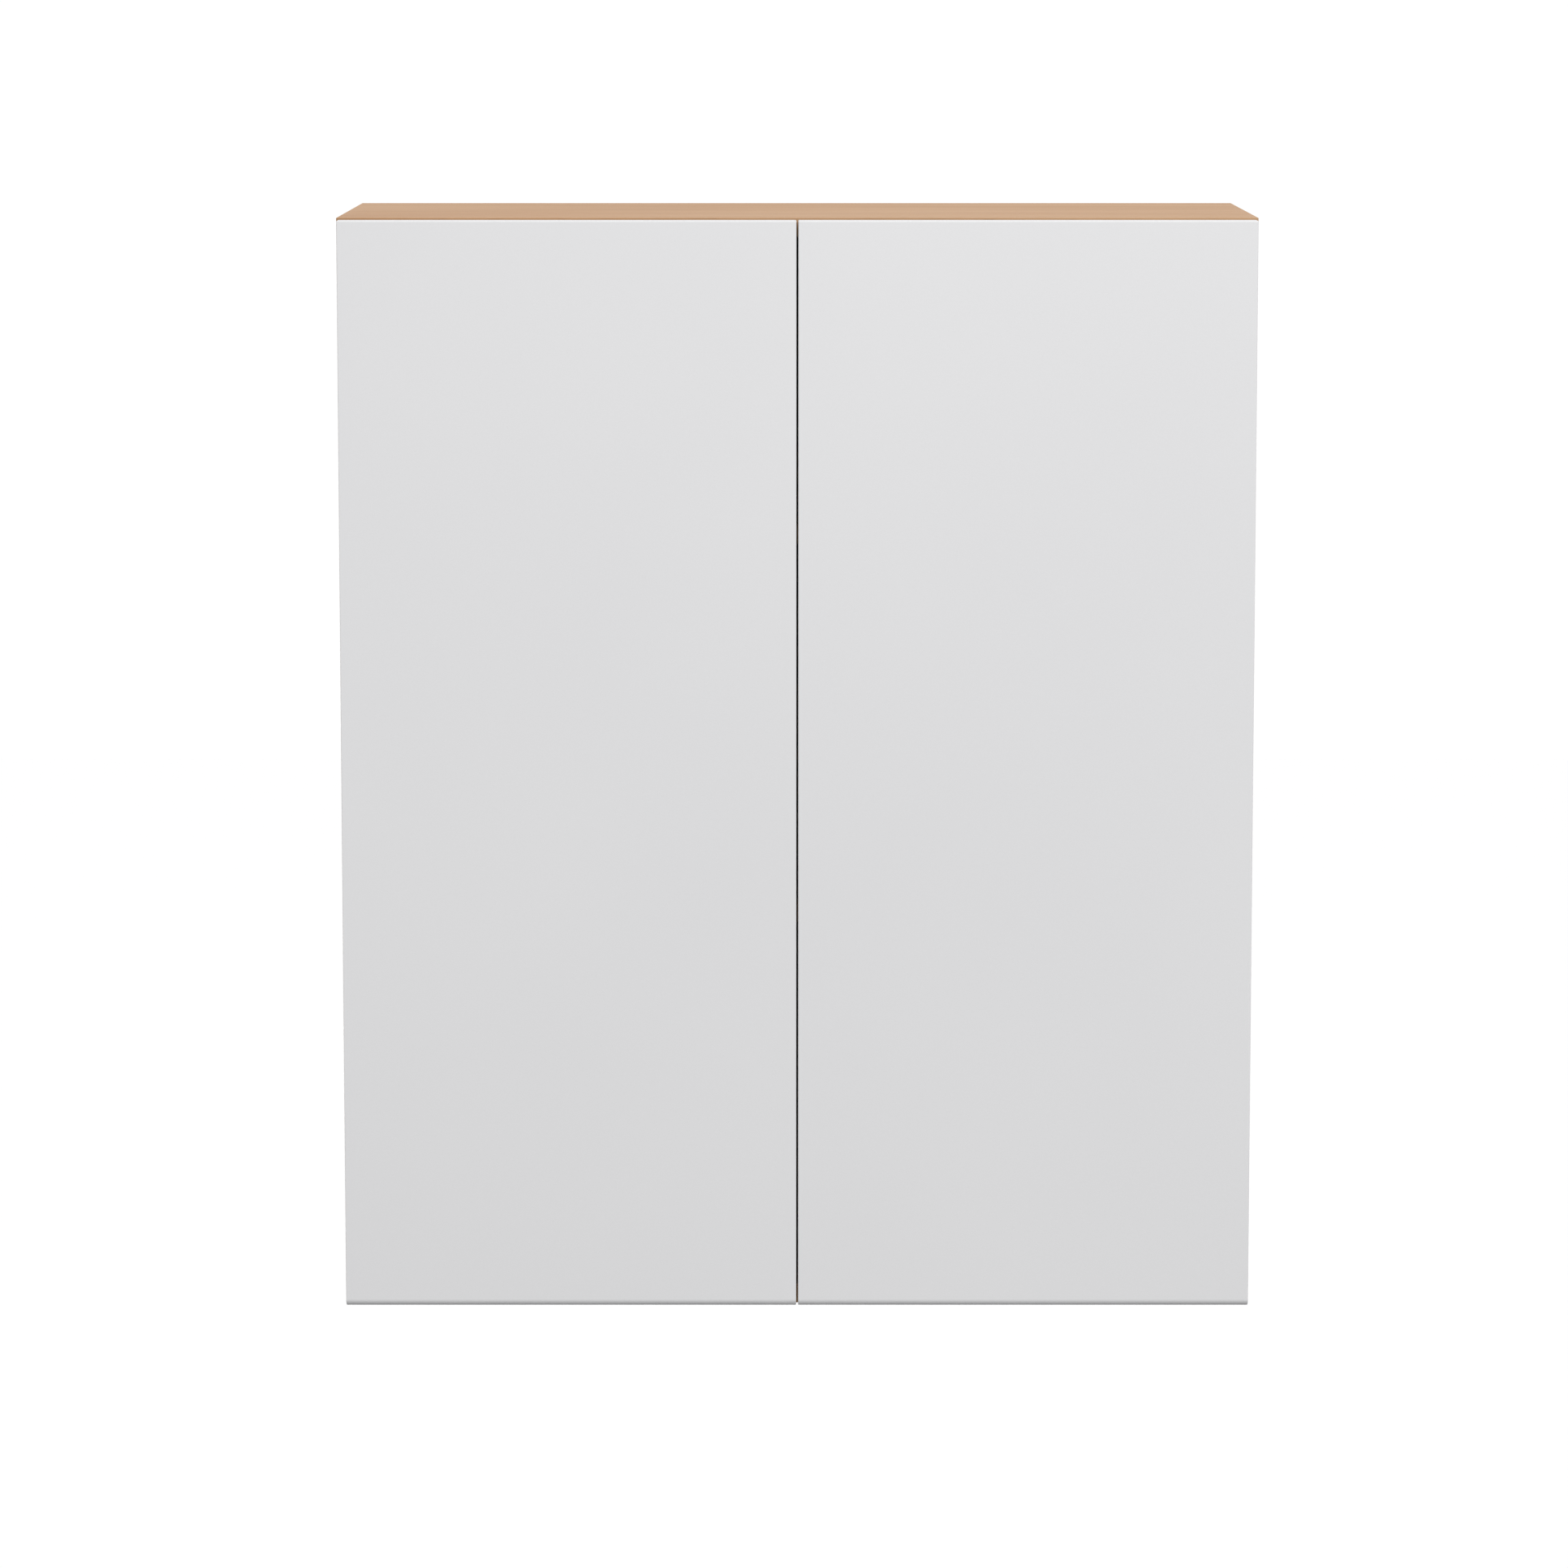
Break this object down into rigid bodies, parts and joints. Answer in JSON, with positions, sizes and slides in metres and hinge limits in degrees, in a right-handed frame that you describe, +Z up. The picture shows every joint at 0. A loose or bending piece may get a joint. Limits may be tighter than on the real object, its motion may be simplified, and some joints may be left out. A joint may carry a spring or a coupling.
{
  "type": "hanging wall cabinet",
  "caption": "Frameless wood-veneer wall cabinet, hung on a wall, with two flat pale doors on concealed hinges and loose shelves on pins.",
  "frame": {"origin": "middle of the upper hanging rail's rear face, in the wall plane", "axes": "+X to the right when facing the doors, +Y into the wall, +Z up"},
  "size_m": [0.762, 0.3258, 0.9144],
  "materials": {
    "veneer": "light oak-toned veneer, satin",
    "door_lacquer": "smooth matt pale grey lacquer on board",
    "nickel": "nickel-plated steel",
    "zinc": "dull die-cast zinc",
    "clear_rubber": "soft translucent pad"
  },
  "bodies": {
    "carcass": {"side_panel_left": "veneer", "side_panel_right": "veneer", "top_panel": "veneer", "bottom_panel": "veneer", "back_panel": "veneer", "hanging_rail_upper": "veneer", "hanging_rail_lower": "veneer", "cam_lock_left_upper_front": "zinc", "cam_lock_left_lower_front": "zinc", "cam_lock_left_upper_rear": "zinc", "cam_lock_left_lower_rear": "zinc", "cam_lock_right_upper_front": "zinc", "cam_lock_right_lower_front": "zinc", "cam_lock_right_upper_rear": "zinc", "cam_lock_right_lower_rear": "zinc", "cam_bolt_left_upper_front": "zinc", "cam_bolt_left_lower_front": "zinc", "cam_bolt_left_upper_rear": "zinc", "cam_bolt_left_lower_rear": "zinc", "cam_bolt_right_upper_front": "zinc", "cam_bolt_right_lower_front": "zinc", "cam_bolt_right_upper_rear": "zinc", "cam_bolt_right_lower_rear": "zinc", "shelf_lower": "veneer", "shelf_upper": "veneer", "shelf_pin_lower_left_front": "nickel", "shelf_pin_lower_left_rear": "nickel", "shelf_pin_lower_right_front": "nickel", "shelf_pin_lower_right_rear": "nickel", "shelf_pin_upper_left_front": "nickel", "shelf_pin_upper_left_rear": "nickel", "shelf_pin_upper_right_front": "nickel", "shelf_pin_upper_right_rear": "nickel", "hinge_plate_left_lower": "nickel", "hinge_plate_left_upper": "nickel", "hinge_plate_right_lower": "nickel", "hinge_plate_right_upper": "nickel", "hinge_arm_left_lower": "nickel", "hinge_arm_left_upper": "nickel", "hinge_arm_right_lower": "nickel", "hinge_arm_right_upper": "nickel"},
    "left_outer_links": {"hinge_outer_link_left_lower": "nickel", "hinge_outer_link_left_upper": "nickel"},
    "left_inner_links": {"hinge_inner_link_left_lower": "nickel", "hinge_inner_link_left_upper": "nickel"},
    "left_door": {"door_left": "door_lacquer", "door_bumper_left": "clear_rubber", "hinge_cup_left_lower": "nickel", "hinge_cup_left_upper": "nickel"},
    "right_outer_links": {"hinge_outer_link_right_lower": "nickel", "hinge_outer_link_right_upper": "nickel"},
    "right_inner_links": {"hinge_inner_link_right_lower": "nickel", "hinge_inner_link_right_upper": "nickel"},
    "right_door": {"door_right": "door_lacquer", "door_bumper_right": "clear_rubber", "hinge_cup_right_lower": "nickel", "hinge_cup_right_upper": "nickel"}
  },
  "joints": [
    {"name": "left_door_swing", "type": "hinge", "parent": "left_outer_links", "child": "left_door", "pos_m": [-0.3657, -0.3082, -0.3963], "axis": [0, 0, -1], "range_deg": [0, 142.5]},
    {"name": "left_outer_link_turn", "type": "hinge", "parent": "carcass", "child": "left_outer_links", "pos_m": [-0.3436, -0.2991, -0.3963], "axis": [0, 0, 1], "range_deg": [0, 47.5]},
    {"name": "left_inner_link_turn", "type": "hinge", "parent": "carcass", "child": "left_inner_links", "pos_m": [-0.345, -0.315, -0.3963], "axis": [0, 0, 1], "range_deg": [0, 56.05]},
    {"name": "right_door_swing", "type": "hinge", "parent": "right_outer_links", "child": "right_door", "pos_m": [0.3657, -0.3082, -0.3963], "axis": [0, 0, 1], "range_deg": [0, 142.5]},
    {"name": "right_outer_link_turn", "type": "hinge", "parent": "carcass", "child": "right_outer_links", "pos_m": [0.3436, -0.2991, -0.3963], "axis": [0, 0, -1], "range_deg": [0, 47.5]},
    {"name": "right_inner_link_turn", "type": "hinge", "parent": "carcass", "child": "right_inner_links", "pos_m": [0.345, -0.315, -0.3963], "axis": [0, 0, -1], "range_deg": [0, 56.05]}
  ],
  "couplings": [
    {"joint": "left_outer_link_turn", "follows": "left_door_swing", "ratio": 0.33333},
    {"joint": "left_inner_link_turn", "follows": "left_door_swing", "ratio": 0.39333},
    {"joint": "right_outer_link_turn", "follows": "right_door_swing", "ratio": 0.33333},
    {"joint": "right_inner_link_turn", "follows": "right_door_swing", "ratio": 0.39333}
  ]
}
